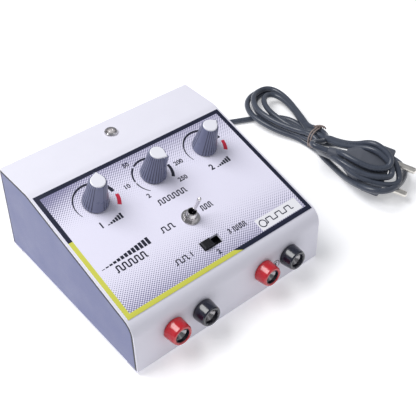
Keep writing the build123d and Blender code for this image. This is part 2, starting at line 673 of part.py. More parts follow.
def plug_body():
    """Two-pin plug, drawn with its pin face at z = 0 and its tail towards -Z."""
    depth = PLUG_TAPER[0][0]
    front = extrude(RectangleRounded(PLUG_WIDTH, PLUG_THICK, PLUG_CORNER), -depth)
    taper = loft([Pos(0, 0, -back) * RectangleRounded(width, thick, PLUG_CORNER)
                  for back, width, thick in PLUG_TAPER], ruled=True)
    at_plug, at_cord, length = PLUG_TAIL
    tail = Pos(0, 0, -PLUG_TAPER[-1][0]) * Rot(180, 0, 0) * Cone(at_plug, at_cord, length, align=BASE)
    return chamfer(front.faces().sort_by(Axis.Z)[-1].edges(), PLUG_EDGE) + taper + tail


def plug_pin():
    pin = disc(PIN_RADIUS, 0, PIN_LENGTH)
    return fillet(pin.edges().sort_by(Axis.Z)[-1], PIN_TIP)


add("mains_lead", lead_tube())
add("lead_hank", hank())
add("hank_tie", tie())
add("plug_body", PLUG * plug_body())
add("plug_pins", group([PLUG * Pos(side * PIN_SPACING / 2, 0, 0) * plug_pin() for side in (-1, 1)]))

# ---------------------------------------------------------------- placing and writing
ON_CORD = {"mains_lead", "lead_hank", "hank_tie", "plug_body", "plug_pins", "strain_relief"}
boxes = [shape.bounding_box() for name, shape in nodes.items() if name not in ON_CORD]
front_reach = min(box.min.Y for box in boxes)
rear_reach = max(box.max.Y for box in boxes)
ORIGIN_Y = (front_reach + rear_reach) / 2
HOME = Pos(0, -ORIGIN_Y, CLEARANCE_DROP)

os.makedirs("parts", exist_ok=True)
for name, shape in nodes.items():
    placed = [HOME * solid for solid in shape.solids()]
    export_step(placed[0] if len(placed) == 1 else Compound(placed), f"parts/{name}.step")
print("nodes", len(nodes), "origin is", round(ORIGIN_Y, 3), "behind the front foot")
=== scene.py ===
import json
import math
import bpy
from mathutils import Matrix, Vector


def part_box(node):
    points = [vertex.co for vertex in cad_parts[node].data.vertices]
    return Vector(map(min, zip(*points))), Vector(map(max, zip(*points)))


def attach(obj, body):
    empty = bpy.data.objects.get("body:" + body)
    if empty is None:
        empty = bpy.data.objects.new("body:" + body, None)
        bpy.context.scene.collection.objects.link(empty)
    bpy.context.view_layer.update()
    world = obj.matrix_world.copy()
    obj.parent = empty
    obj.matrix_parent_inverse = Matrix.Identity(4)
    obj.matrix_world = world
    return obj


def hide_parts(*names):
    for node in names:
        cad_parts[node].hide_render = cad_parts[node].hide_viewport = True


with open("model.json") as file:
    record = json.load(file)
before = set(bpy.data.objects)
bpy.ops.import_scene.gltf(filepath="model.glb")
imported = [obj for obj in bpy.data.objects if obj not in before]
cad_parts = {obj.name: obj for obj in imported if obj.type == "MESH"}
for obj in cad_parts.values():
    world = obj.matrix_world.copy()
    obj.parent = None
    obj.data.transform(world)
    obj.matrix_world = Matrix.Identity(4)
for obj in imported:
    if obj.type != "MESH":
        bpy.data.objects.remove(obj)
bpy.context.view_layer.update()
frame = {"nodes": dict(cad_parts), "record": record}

# Looks of the two-channel stimulator. Sizes are in millimetres until at(), on_label() or on_front() turns
# them into metres. Panel places are (x, distance down the slope from the crease at the panel's top).
MM = 0.001
CASE_TO_ROW = -71.472            # the case's front foot is this far in front of the row frame's origin

# panel
SLOPE = math.atan2(27.7, 105.0)
LABEL_HALF = 73.3
LABEL_TOP = 4.6
LABEL_BOTTOM = 102.5
LABEL_THICK = 0.25
BEND_START = 100.0               # the label curves over the front bend from here on
BEND_RADIUS = 12.0
INK = 0.035                      # thickness of the printed layers
BORDER = 3.0

# mains lead
CORD = 4.5
TIE = (164.0, 86.0)
TIE_SIZE = 15.6
TIE_CLEAR = 0.3

# case
FRONT_LEAN = 2.6
FRONT_HEIGHT = 38.5
CASE_HEIGHT = 66.2
CASE_DEPTH = 140.5
STRIP_DEPTH = 32.9
CASE_LIFT = 1.5                  # the case's underside above the table
GAP_HALF = 74.93                 # where the seam between cover and side wall lies

# level knobs: place on the panel, and the way the pointer looks, clockwise from straight up the slope
KNOBS = {
    "channel_1": ((-43.0, 26.6), 24.0),
    "rate": ((0.6, 27.2), 148.0),
    "channel_2": ((43.8, 26.6), 76.0),
}
FLUTE_FIRST = 22.0               # degrees from the pointer to the first flute on each side
FLUTE_PITCH = 13.0
FLUTES_START = (15.0, 18.0)      # degrees over which the flutes' painted shade fades in beside the pointer
FLUTES_END = (156.0, 159.0)      # and out again behind

# dials round the knobs
LEVEL_DIALS = ((-42.6, 26.2), (43.8, 26.5))
RATE_DIAL = (0.4, 27.4)

# toggle switch
TOGGLE = (0.3, 66.5)
SLEEVE_FOOT = 2.9                # heights above the cover's panel
SLEEVE_TOP = 6.75
THREAD_PITCH = 0.55

# output sockets
SOCKET_XS = (-47.0, -25.0, 25.0, 47.0)
SOCKET_UP = 20.0

# camera
AZIMUTH = math.radians(-41.629)
ELEVATION = math.radians(42.422)
ROLL = math.radians(1.596)
DISTANCE = 0.5339
TARGET = Vector((0.03445, -0.00575, 0.024))
LENS = 68.25


def at(x, y, z):
    """A point in metres from case x and y and height above the table in millimetres."""
    return Vector((x * MM, (y + CASE_TO_ROW) * MM, z * MM))


# ---------------------------------------------------------------- materials
def shader(name):
    material = bpy.data.materials.new(name)
    material.use_nodes = True
    return material, material.node_tree, material.node_tree.nodes["Principled BSDF"]


def node(tree, kind, **values):
    made = tree.nodes.new(kind)
    for key, value in values.items():
        setattr(made, key, value)
    return made


def noise(tree, scale, detail=3.0, stretch=(1.0, 1.0, 1.0)):
    """Noise in object space; scale is in features per metre."""
    coords = node(tree, "ShaderNodeTexCoord")
    mapping = node(tree, "ShaderNodeMapping")
    mapping.inputs["Scale"].default_value = stretch
    texture = node(tree, "ShaderNodeTexNoise")
    texture.inputs["Scale"].default_value = scale
    texture.inputs["Detail"].default_value = detail
    tree.links.new(coords.outputs["Object"], mapping.inputs["Vector"])
    tree.links.new(mapping.outputs["Vector"], texture.inputs["Vector"])
    return texture.outputs["Fac"]


def blend_colors(tree, factor, first, second):
    mix = node(tree, "ShaderNodeMix", data_type="RGBA")
    tree.links.new(factor, mix.inputs["Factor"])
    mix.inputs[6].default_value = (*first, 1.0)
    mix.inputs[7].default_value = (*second, 1.0)
    return mix.outputs[2]


def spread(tree, factor, low, high):
    ranged = node(tree, "ShaderNodeMapRange")
    ranged.inputs["From Min"].default_value = 0.3
    ranged.inputs["From Max"].default_value = 0.7
    ranged.inputs["To Min"].default_value = low
    ranged.inputs["To Max"].default_value = high
    tree.links.new(factor, ranged.inputs["Value"])
    return ranged.outputs["Result"]


def surface(name, color, rough, metallic=0.0, uneven=0.06, patch=60.0, grain=2500.0, bump=0.1,
            stretch=(1.0, 1.0, 1.0), coat=0.0, gloss=0.5):
    """A solid finish: colour and roughness that vary softly in patches, over a fine grain."""
    material, tree, bsdf = shader(name)
    patches = noise(tree, patch, 4.0, stretch)
    dark = [c * (1 - uneven) for c in color]
    light = [min(1.0, c * (1 + uneven)) for c in color]
    tree.links.new(blend_colors(tree, patches, dark, light), bsdf.inputs["Base Color"])
    tree.links.new(spread(tree, patches, rough * 0.85, min(1.0, rough * 1.15)), bsdf.inputs["Roughness"])
    bsdf.inputs["Metallic"].default_value = metallic
    bsdf.inputs["Specular IOR Level"].default_value = gloss
    bsdf.inputs["Coat Weight"].default_value = coat
    bsdf.inputs["Coat Roughness"].default_value = 0.08
    bumps = node(tree, "ShaderNodeBump")
    bumps.inputs["Strength"].default_value = bump
    bumps.inputs["Distance"].default_value = 0.0002
    tree.links.new(noise(tree, grain, 2.0, stretch), bumps.inputs["Height"])
    tree.links.new(bumps.outputs["Normal"], bsdf.inputs["Normal"])
    return material


def clear(name, tint, rough, through):
    """Clear plastic or glass with faint waviness; through is how much light passes."""
    material = surface(name, tint, rough, uneven=0.02, bump=0.03)
    bsdf = material.node_tree.nodes["Principled BSDF"]
    bsdf.inputs["Transmission Weight"].default_value = through
    bsdf.inputs["IOR"].default_value = 1.49
    return material


def math_node(tree, operation, first, second=None):
    made = node(tree, "ShaderNodeMath", operation=operation)
    for socket, value in zip(made.inputs, (first, second)):
        if isinstance(value, (int, float)):
            socket.default_value = value
        elif value is not None:
            tree.links.new(value, socket)
    return made.outputs[0]


def label_print():
    """Pale overlay with a raster of dots that grow towards its top and bottom edges."""
    material, tree, bsdf = shader("label_print")
    coords = node(tree, "ShaderNodeTexCoord")
    split = node(tree, "ShaderNodeSeparateXYZ")
    tree.links.new(coords.outputs["Object"], split.inputs[0])
    x = math_node(tree, "MULTIPLY", split.outputs["X"], 1000.0)
    down = math_node(tree, "SUBTRACT", CREASE.y, split.outputs["Y"])
    down = math_node(tree, "MULTIPLY", down, 1000.0 / math.cos(SLOPE))
    offsets = []
    for operation in ("ADD", "SUBTRACT"):
        diagonal = math_node(tree, "DIVIDE", math_node(tree, operation, x, down), DOT_PITCH * 1.414)
        positive = math_node(tree, "ADD", diagonal, 200.0)
        offsets.append(math_node(tree, "SUBTRACT", math_node(tree, "FRACT", positive), 0.5))
    du, dv = offsets
    reach = math_node(tree, "SQRT", math_node(tree, "ADD", math_node(tree, "MULTIPLY", du, du),
                                              math_node(tree, "MULTIPLY", dv, dv)))
    top = spread_between(tree, down, 6.0, 40.0, 0.50, 0.0)
    bottom = spread_between(tree, down, 66.0, 99.0, 0.0, 0.46)
    corner = spread_between(tree, math_node(tree, "ADD", x, down), -66.0, -30.0, 0.20, 0.0)
    size = math_node(tree, "ADD", math_node(tree, "MAXIMUM", top, bottom), corner)
    inside = spread_between(tree, math_node(tree, "SUBTRACT", size, reach), -0.06, 0.06, 0.0, 1.0)
    color = blend_colors(tree, inside, LABEL_FIELD, LABEL_DOTS)
    tree.links.new(color, bsdf.inputs["Base Color"])
    tree.links.new(spread(tree, noise(tree, 300.0), 0.32, 0.42), bsdf.inputs["Roughness"])
    return material


def spread_between(tree, value, low, high, first, last):
    ranged = node(tree, "ShaderNodeMapRange")
    for socket, number in zip(("From Min", "From Max", "To Min", "To Max"), (low, high, first, last)):
        ranged.inputs[socket].default_value = number
    tree.links.new(value, ranged.inputs["Value"])
    return ranged.outputs["Result"]


def knob_turn(tree, centre, pointer):
    """Angle round a knob's axis away from its pointer, 0 at the pointer and pi behind it."""
    coords = node(tree, "ShaderNodeTexCoord")
    split = node(tree, "ShaderNodeSeparateXYZ")
    tree.links.new(coords.outputs["Object"], split.inputs[0])
    slope = Vector((0.0, math.cos(SLOPE), math.sin(SLOPE)))
    foot = CREASE + (Vector((centre[0], 0.0, 0.0)) - slope * centre[1]) * MM
    side = math_node(tree, "SUBTRACT", split.outputs["X"], foot.x)
    back = math_node(tree, "MULTIPLY", math_node(tree, "SUBTRACT", split.outputs["Y"], foot.y), slope.y)
    rise = math_node(tree, "MULTIPLY", math_node(tree, "SUBTRACT", split.outputs["Z"], foot.z), slope.z)
    clockwise = math_node(tree, "ARCTAN2", side, math_node(tree, "ADD", back, rise))
    turn = math_node(tree, "WRAP", math_node(tree, "SUBTRACT", clockwise, math.radians(pointer)), math.pi)
    turn.node.inputs[2].default_value = -math.pi
    return math_node(tree, "ABSOLUTE", turn)


def fluted_plastic(name, centre, pointer):
    """Knob plastic with painted shade, darker down in the flutes than on the lands between them."""
    material = surface(name, KNOB_LIGHT, 0.30, uneven=0.06, patch=200.0, bump=0.12, coat=0.15)
    tree = material.node_tree
    color = tree.nodes["Principled BSDF"].inputs["Base Color"]
    land = color.links[0].from_socket
    away = knob_turn(tree, centre, pointer)
    past_first = math_node(tree, "SUBTRACT", away, math.radians(FLUTE_FIRST))
    flute = math_node(tree, "FRACT", math_node(tree, "DIVIDE", past_first, math.radians(FLUTE_PITCH)))
    from_middle = math_node(tree, "ABSOLUTE", math_node(tree, "SUBTRACT", flute, 0.5))
    # painted shade mask: 1 down in each flute, 0 on the lands between, darkening the plastic there
    depth = spread_between(tree, from_middle, 0.22, 0.42, 0.0, 1.0)
    for (low, high), first, last in ((FLUTES_START, 0.0, 1.0), (FLUTES_END, 1.0, 0.0)):
        fade = spread_between(tree, away, math.radians(low), math.radians(high), first, last)
        depth = math_node(tree, "MULTIPLY", depth, fade)
    mix = node(tree, "ShaderNodeMix", data_type="RGBA")
    tree.links.new(depth, mix.inputs["Factor"])
    tree.links.new(land, mix.inputs[6])
    mix.inputs[7].default_value = (*KNOB_FLUTE_SHADE, 1.0)
    tree.links.new(mix.outputs[2], color)
    return material


KNOB_LIGHT = (0.165, 0.178, 0.285)
# painted shade colour down in the knobs' flutes
KNOB_FLUTE_SHADE = (0.045, 0.050, 0.095)
LABEL_FIELD = (0.86, 0.84, 0.99)
LABEL_DOTS = (0.22, 0.21, 0.36)
DOT_PITCH = 1.3

label_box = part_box("panel_label")
CREASE = Vector((0.0,
                 label_box[1][1] + LABEL_TOP * MM * math.cos(SLOPE),
                 label_box[1][2] + (LABEL_TOP * math.sin(SLOPE) - LABEL_THICK * math.cos(SLOPE)) * MM))

MATERIALS = {
    "tray_paint": surface("tray_paint", (0.150, 0.166, 0.325), 0.42, bump=0.25, uneven=0.04),
    "cover_paint": surface("cover_paint", (0.80, 0.79, 0.88), 0.45, bump=0.3, uneven=0.015),
    "panel_print": label_print(),
    "badge_print": surface("badge_print", (0.92, 0.92, 0.97), 0.22, uneven=0.01, bump=0.02, coat=0.4),
    "foot_rubber": surface("foot_rubber", (0.02, 0.02, 0.024), 0.8, bump=0.4),
    "zinc_steel": surface("zinc_steel", (0.62, 0.63, 0.68), 0.28, metallic=1.0, uneven=0.12,
                          patch=300.0),
    "cap_plastic": surface("cap_plastic", (0.86, 0.86, 0.93), 0.25, uneven=0.02, coat=0.3, bump=0.02),
    "shaft_alloy": surface("shaft_alloy", (0.72, 0.72, 0.75), 0.3, metallic=1.0, stretch=(1, 1, 6)),
    "switch_plastic": surface("switch_plastic", (0.012, 0.012, 0.016), 0.35, uneven=0.15, bump=0.15),
    "chrome_plate": surface("chrome_plate", (0.68, 0.66, 0.67), 0.16, metallic=1.0, uneven=0.05, bump=0.02),
    "lamp_clear": clear("lamp_clear", (0.97, 0.93, 0.93), 0.12, 0.45),
    "socket_red": surface("socket_red", (0.52, 0.008, 0.018), 0.24, uneven=0.05, bump=0.03, coat=0.6),
    "socket_black": surface("socket_black", (0.006, 0.008, 0.022), 0.24, uneven=0.2, bump=0.03, coat=0.6),
    # the contacts' own plated metal, its colour darkened as painted shade for their place deep in the socket
    # recesses
    "contact_plate": surface("contact_plate", (0.34, 0.33, 0.34), 0.2, metallic=1.0, uneven=0.3,
                             patch=500.0),
    "rear_plastic": surface("rear_plastic", (0.014, 0.014, 0.017), 0.4, uneven=0.15, bump=0.3),
    "fuse_glass": clear("fuse_glass", (0.85, 0.88, 0.88), 0.05, 0.85),
    "core_steel": surface("core_steel", (0.20, 0.20, 0.21), 0.45, metallic=1.0, stretch=(1, 1, 12),
                          bump=0.4),
    "coil_tape": surface("coil_tape", (0.60, 0.36, 0.03), 0.3, uneven=0.1, bump=0.1),
    "board_laminate": surface("board_laminate", (0.02, 0.11, 0.04), 0.35, uneven=0.2, patch=500.0),
    "capacitor_sleeve": surface("capacitor_sleeve", (0.02, 0.05, 0.18), 0.3, uneven=0.1),
    "wire_sleeve": surface("wire_sleeve", (0.35, 0.03, 0.03), 0.4, uneven=0.1),
    "cord_sheath": surface("cord_sheath", (0.060, 0.071, 0.098), 0.30, uneven=0.15, patch=120.0, bump=0.10),
    "tie_strip": surface("tie_strip", (0.30, 0.24, 0.22), 0.55, uneven=0.12, patch=400.0, bump=0.3),
    "pin_plate": surface("pin_plate", (0.86, 0.83, 0.77), 0.32, metallic=1.0, uneven=0.08, patch=300.0),
}
PLUG_SHELL = surface("plug_shell", (0.085, 0.094, 0.120), 0.5, uneven=0.12, patch=250.0, bump=0.3)
INKS = {
    "navy": surface("ink_navy", (0.007, 0.010, 0.034), 0.4, uneven=0.1, bump=0.02),
    "yellow": surface("ink_yellow", (0.66, 0.66, 0.09), 0.4, uneven=0.04, bump=0.02),
    "black": surface("ink_black", (0.010, 0.012, 0.030), 0.4, uneven=0.1, bump=0.02),
    "red": surface("ink_red", (0.62, 0.020, 0.060), 0.4, uneven=0.05, bump=0.02),
}


def dress_nodes():
    """Gives each CAD node its own finish, or else that of the material slot the record names for it."""
    finishes = {"plug_body": PLUG_SHELL}
    for dial, (centre, pointer) in KNOBS.items():
        finishes["knob_" + dial] = fluted_plastic("knob_plastic_" + dial, centre, pointer)
    for part in frame["record"]["subparts"]:
        finish = finishes.get(part["node"]) or MATERIALS[part["material_slot"]]
        for place in frame["nodes"][part["node"]].material_slots:
            place.material = finish


# ---------------------------------------------------------------- print on the panel
def on_label(x, down, lift=0.0):
    """A point of the label's face in metres, lift above it."""
    past = max(0.0, down - BEND_START) / BEND_RADIUS
    straight = min(down, BEND_START)
    turned = SLOPE + past
    centre = Vector((0.0, -math.sin(SLOPE), math.cos(SLOPE))) * -BEND_RADIUS
    edge = Vector((0.0, -math.sin(turned), math.cos(turned)))
    foot = CREASE + Vector((x, -straight * math.cos(SLOPE), -straight * math.sin(SLOPE))) * MM
    if past > 0.0:
        foot += (centre + edge * BEND_RADIUS) * MM
    return foot + edge * ((LABEL_THICK + lift) * MM)


def on_front(x, up, lift=0.0):
    """A point of the cover's front face in metres; up is measured along the face from its foot."""
    lean = math.atan2(FRONT_LEAN, FRONT_HEIGHT)
    y = up * math.sin(lean) - lift * math.cos(lean)
    z = up * math.cos(lean) + lift * math.sin(lean)
    return at(x, y, z + CASE_LIFT)


def ink_piece(name, ink, outlines, lift=0.0, place=on_label):
    """Closed outlines in panel places, printed as a thin layer."""
    points = []
    faces = []
    for outline in outlines:
        first = len(points)
        count = len(outline)
        points += [place(x, down, lift + INK) for x, down in outline]
        points += [place(x, down, lift - 0.02) for x, down in outline]
        faces.append([first + i for i in range(count)])
        for i in range(count):
            after = (i + 1) % count
            faces.append([first + i, first + count + i, first + count + after, first + after])
    mesh = bpy.data.meshes.new(name)
    mesh.from_pydata(points, [], faces)
    mesh.validate()
    piece = bpy.data.objects.new(name, mesh)
    bpy.context.scene.collection.objects.link(piece)
    mesh.materials.append(ink)
    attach(piece, "root")
    return piece


def bar(x0, x1, down0, down1):
    return [[(x0, down0), (x1, down0), (x1, down1), (x0, down1)]]


def clock(centre, radius, degrees):
    """A place at a clock angle from straight up the slope."""
    angle = math.radians(degrees)
    return (centre[0] + radius * math.sin(angle), centre[1] - radius * math.cos(angle))


def arc_band(centre, radius, start, end, thin, thick, steps=28):
    """A band round a dial that grows from thin to thick."""
    outline = []
    for side in (1, -1):
        row = []
        for i in range(steps + 1):
            share = i / steps
            width = thin + (thick - thin) * share
            row.append(clock(centre, radius + side * width / 2, start + (end - start) * share))
        outline += row if side == 1 else row[::-1]
    return outline


def numeral(text, x, down, size):
    """The outlines of a generic numeral, centred on a place; size is the height of a digit."""
    data = bpy.data.curves.new("numeral", "FONT")
    data.body = text
    data.size = size * 1.42
    data.align_x = "CENTER"
    data.align_y = "CENTER"
    data.resolution_u = 3
    data.offset = size * 0.04
    made = bpy.data.objects.new("numeral", data)
    bpy.context.scene.collection.objects.link(made)
    mesh = made.to_mesh()
    outlines = []
    for face in mesh.polygons:
        outline = []
        for index in face.vertices:
            px, py = mesh.vertices[index].co[:2]
            outline.append((x + px, down - py))
        outlines.append(outline)
    made.to_mesh_clear()
    bpy.data.objects.remove(made)
    bpy.data.curves.remove(data)
    return outlines


def stroke(points, width):
    """A line of even width through places, as one quad per run."""
    outlines = []
    for (x0, d0), (x1, d1) in zip(points, points[1:]):
        length = math.hypot(x1 - x0, d1 - d0)
        nx, nd = (d1 - d0) / length * width / 2, -(x1 - x0) / length * width / 2
        outlines.append([(x0 + nx, d0 + nd), (x1 + nx, d1 + nd), (x1 - nx, d1 - nd), (x0 - nx, d0 - nd)])
    return outlines


def rising_bars(x, down, count, width, height, gap):
    """A row of bars that grow, for more and less."""
    bars = []
    for i in range(count):
        tall = height * (i + 1) / count
        left = x + (i - count / 2) * (width + gap)
        bars += bar(left, left + width, down - tall, down)
    return bars


def pulse(x, down, width, height, beats, line=0.45):
    """A square pulse train."""
    step = width / (2 * beats)
    points = [(x - width / 2, down)]
    for i in range(beats):
        left = x - width / 2 + step * (2 * i + 0.5)
        points += [(left, down), (left, down - height), (left + step, down - height), (left + step, down)]
    points.append((x + width / 2, down))
    return stroke([p for i, p in enumerate(points) if i == 0 or p != points[i - 1]], line)


def ring(x, down, radius, line, steps=24):
    outer = [clock((x, down), radius, 360 * i / steps) for i in range(steps)]
    inner = [clock((x, down), radius - line, 360 * i / steps) for i in range(steps)]
    return [[outer[i], outer[(i + 1) % steps], inner[(i + 1) % steps], inner[i]] for i in range(steps)]


def print_border():
    """Dark frame round the panel, yellow along its lower left up to a slanted cut at the front."""
    left, right = -LABEL_HALF, LABEL_HALF
    inner_left, inner_right = left + BORDER, right - BORDER
    inner_top, inner_bottom = LABEL_TOP + BORDER, LABEL_BOTTOM - BORDER
    split = 43.0
    slant = (7.5, 13.3)
    dark = bar(left, right, LABEL_TOP, inner_top)
    dark += bar(left, inner_left, inner_top, split)
    dark += bar(inner_right, right, inner_top, inner_bottom)
    rows = [inner_bottom + BORDER * i / 4 for i in range(5)]
    yellow = bar(left, inner_left, split, inner_bottom)
    for a, b in zip(rows, rows[1:]):
        cut = [slant[0] + (slant[1] - slant[0]) * (row - inner_bottom) / BORDER for row in (a, b)]
        yellow.append([(left, a), (cut[0], a), (cut[1], b), (left, b)])
        dark.append([(cut[0], a), (right, a), (right, b), (cut[1], b)])
    ink_piece("print_border_dark", INKS["navy"], dark)
    ink_piece("print_border_yellow", INKS["yellow"], yellow)


def print_dials():
    black = []
    red = []
    for centre in LEVEL_DIALS:
        black.append(arc_band(centre, 13.9, -112, 86, 0.4, 2.5))
        red.append(arc_band(centre, 14.6, 97, 129, 2.3, 2.7, 8))
    for start, end, thin, thick in ((-137, -92, 0.5, 0.9), (-87, -38, 1.0, 1.3), (-31, 34, 1.3, 1.8),
                                    (84, 128, 1.9, 2.2)):
        black.append(arc_band(RATE_DIAL, 13.2, start, end, thin, thick, 12))
    ink_piece("print_dial_black", INKS["black"], black)
    ink_piece("print_dial_red", INKS["red"], red)


def print_marks():
    """Generic numerals and signs where the instrument carries its captions."""
    marks = []
    for text, angle, away in (("2", -135, 17.5), ("10", -89, 19.8), ("50", -36, 18.2), ("200", 92, 20.4),
                              ("250", 130, 19.4)):
        marks += numeral(text, *clock(RATE_DIAL, away, angle), 3.2)
    for x, text in ((-43.0, "1"), (43.8, "2")):
        marks += numeral(text, x - 6.5, 42.7, 4.4)
        marks += rising_bars(x + 3.0, 44.8, 6, 1.5, 4.2, 0.5)
    marks += pulse(0.6, 49.2, 22.0, 3.4, 6, 0.8)
    marks += pulse(-16.6, 66.7, 10.0, 3.4, 2, 0.8)
    marks += pulse(14.4, 66.6, 9.0, 3.4, 3, 0.75)
    for text, x, down in (("1", -15.8, 87.8), ("2", -0.3, 95.6), ("3", 14.6, 87.8)):
        marks += numeral(text, x, down, 3.4)
    marks += pulse(-23.3, 89.5, 10.0, 3.2, 2, 0.75)
    marks += pulse(22.6, 89.5, 10.5, 3.2, 4, 0.7)
    marks += rising_bars(-49.0, 68.6, 13, 2.1, 5.2, 0.7)
    marks += pulse(-49.3, 74.7, 22.0, 4.0, 5, 0.95)
    ink_piece("print_marks", INKS["black"], marks)
    fronts = numeral("1", -47.0, 8.4, 3.0)
    fronts += numeral("2", 36.0, 17.6, 3.6) + ring(36.0, 17.6, 3.4, 0.5)
    ink_piece("print_channel_numbers", INKS["navy"], fronts, place=on_front)


def print_badge():
    """Sign on the badge: a ring with a pulse through it."""
    lift = 0.15
    signs = pulse(50.5, 96.0, 24.0, 3.4, 3, 0.7)
    signs += ring(36.8, 94.6, 2.9, 0.7)
    ink_piece("print_badge_sign", INKS["navy"], signs, lift=lift)


# ---------------------------------------------------------------- painted gap shadows, recess shades and sleeve
GAP_SHADOW_INSETS = (0.85, 2.2)        # how far inside the case's outline the painted gap shadow runs
GAP_SHADOW_FOOT = 2.5
CREASE_BEND = 3.0


def rounded_profile(inset, steps=8):
    """The case's side outline from the front's foot over the top to the rear's foot, moved inwards by
    inset, as (y, z) in case millimetres."""
    corners = [(0.0, 0.0), (FRONT_LEAN, FRONT_HEIGHT), (CASE_DEPTH - STRIP_DEPTH, CASE_HEIGHT),
               (CASE_DEPTH, CASE_HEIGHT), (CASE_DEPTH, 0.0)]
    bends = (BEND_RADIUS, BEND_RADIUS, CREASE_BEND)
    path = [Vector((corners[0][0] + inset, corners[0][1] + GAP_SHADOW_FOOT))]
    for k in (1, 2, 3):
        before, here, after = (Vector(corners[i]) for i in (k - 1, k, k + 1))
        back, on = (here - before).normalized(), (after - here).normalized()
        normals = [Vector((edge.y, -edge.x)) for edge in (back, on)]
        corner = here + (normals[0] + normals[1]) * (inset / (1 + normals[0].dot(normals[1])))
        turn = back.angle(on)
        reach = max(0.5, bends[k - 1] - inset) * math.tan(turn / 2)
        for i in range(steps + 1):
            t = i / steps
            path.append((corner - back * reach) * (1 - t) ** 2 + corner * (2 * t * (1 - t))
                        + (corner + on * reach) * t * t)
    path.append(Vector((CASE_DEPTH - inset, GAP_SHADOW_FOOT)))
    return path


def painted_gap_shadow(name, side):
    """Painted shadow: a dark strip in the gap between the cover's edge and the side wall, where there is
    only shade.
    """
    outer, inner = (rounded_profile(inset) for inset in GAP_SHADOW_INSETS)
    points = []
    for (y0, z0), (y1, z1) in zip(outer, inner):
        points.append(at(side * (GAP_HALF - 0.15), y0, z0 + CASE_LIFT))
        points.append(at(side * (GAP_HALF + 0.12), y1, z1 + CASE_LIFT))
        points.append(at(side * (GAP_HALF - 0.45), y1, z1 + CASE_LIFT))
        points.append(at(side * (GAP_HALF - 0.55), y0, z0 + CASE_LIFT))
    faces = []
    for i in range(len(outer) - 1):
        for k in range(4):
            after = (k + 1) % 4
            faces.append([4 * i + k, 4 * i + after, 4 * i + 4 + after, 4 * i + 4 + k])
    last = 4 * (len(outer) - 1)
    faces += [[0, 1, 2, 3], [last + 3, last + 2, last + 1, last]]
    # the near-black switch plastic makes this strip a painted shadow, not a part of the case
    mesh_piece(name, points, faces, "switch_plastic")


def mesh_piece(name, points, faces, slot):
    mesh = bpy.data.meshes.new(name)
    mesh.from_pydata(points, [], faces)
    mesh.validate()
    mesh.materials.append(MATERIALS[slot])
    piece = bpy.data.objects.new(name, mesh)
    bpy.context.scene.collection.objects.link(piece)
    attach(piece, "root")


def turned_ring(name, profile, centre, place, slot, steps=40):
    """A ring turned about an axis that stands on a face; profile is a closed loop of (radius, height)."""
    points = []
    for radius, height in profile:
        for i in range(steps):
            angle = math.tau * i / steps
            points.append(place(centre[0] + radius * math.cos(angle),
                                centre[1] + radius * math.sin(angle), height))
    faces = []
    for k in range(len(profile)):
        below, above = k * steps, (k + 1) % len(profile) * steps
        for i in range(steps):
            after = (i + 1) % steps
            faces.append([below + i, below + after, above + after, above + i])
    mesh_piece(name, points, faces, slot)


def socket_recess_shade(number, x):
    """Painted shade: a thin black ring on the wall of a socket head's recess, darkening it."""
    profile = [(4.55, 6.65), (4.74, 8.5), (4.84, 8.5), (4.65, 6.65)]
    # painted shade inside the recess, in the black socket plastic
    turned_ring(f"socket_recess_shade_{number}", profile, (x, SOCKET_UP), on_front, "socket_black")


def on_cover(x, down, lift):
    """A point above the cover's panel, under the label, in metres."""
    return on_label(x, down, lift - LABEL_THICK)


def toggle_sleeve():
    """Plated threaded sleeve round the toggle's bushing, above the nut."""
    bore, lip, root, crest = 3.03, 2.62, 3.12, 3.28
    top = SLEEVE_TOP
    profile = [(bore, SLEEVE_FOOT)]
    for i in range(6):
        low = SLEEVE_FOOT + 0.15 + THREAD_PITCH * i
        profile += [(root, low), (crest, low + THREAD_PITCH / 2), (root, low + THREAD_PITCH)]
    profile += [(3.16, top - 0.1), (3.05, top), (lip, top), (lip, top - 0.25), (bore, top - 0.3)]
    turned_ring("toggle_sleeve", profile, TOGGLE, on_cover, "chrome_plate")


# ---------------------------------------------------------------- mains lead and hank
# Points that steer the lead's smooth curve, as case x and y and height above the table.
LEAD = [(35.0, 160.5, 12.5), (35.0, 169.5, 12.5), (37.4, 177.9, 10.5), (42.4, 184.8, 7.5),
        (49.6, 189.5, 4.8), (58.2, 191.5, 2.9), (70.0, 190.8, 2.35), (81.5, 186.0, 2.35),
        (92.0, 178.0, 2.35), (102.5, 168.5, 2.35), (114.5, 159.0, 2.35), (127.5, 151.0, 2.35),
        (142.0, 144.5, 2.35)]
INTO_TIE = [(155.0, 138.5, 2.4), (165.0, 131.0, 2.4), (171.5, 121.5, 2.4), (172.0, 109.5, 2.4),
            (168.0, 97.5, 2.6)]
TO_PLUG = [(162.0, 75.0, 14.0), (155.5, 71.8, 17.5), (148.5, 71.3, 20.5), (141.8, 71.5, 23.3),
           (138.4, 67.1, 24.8), (141.6, 61.4, 23.9), (144.4, 56.4, 22.9)]
# The outermost turn in front goes round the outside of the plug, so its points are placed one by one.
OUTER_TURN = [(158.0, 76.0, 3.0), (156.0, 68.8, 2.5), (153.6, 58.0, 3.0), (149.5, 46.5, 5.0),
              (144.8, 34.5, 9.0), (141.4, 24.0, 13.0), (140.8, 14.5, 16.0), (144.5, 6.5, 17.0),
              (153.5, 3.6, 15.5), (165.0, 5.5, 12.0), (176.8, 9.8, 9.0), (186.6, 15.0, 6.5),
              (193.3, 22.0, 4.5), (196.8, 31.0, 3.0), (196.0, 41.4, 3.0), (192.0, 52.5, 3.0),
              (186.5, 63.0, 3.0), (179.0, 73.0, 3.0)]
TIE_PITCH = 5.0
TIE_HALF = 5.0
LOWEST_ROW = 2.6
# Each strand's column and row in the tie, in the order in which the lead passes it.
TIE_SLOTS = [(0, 0), (1, 0), (-1, 0), (1, 1), (-1, 1), (1, 2), (-1, 2), (0, 1), (0, 2)]
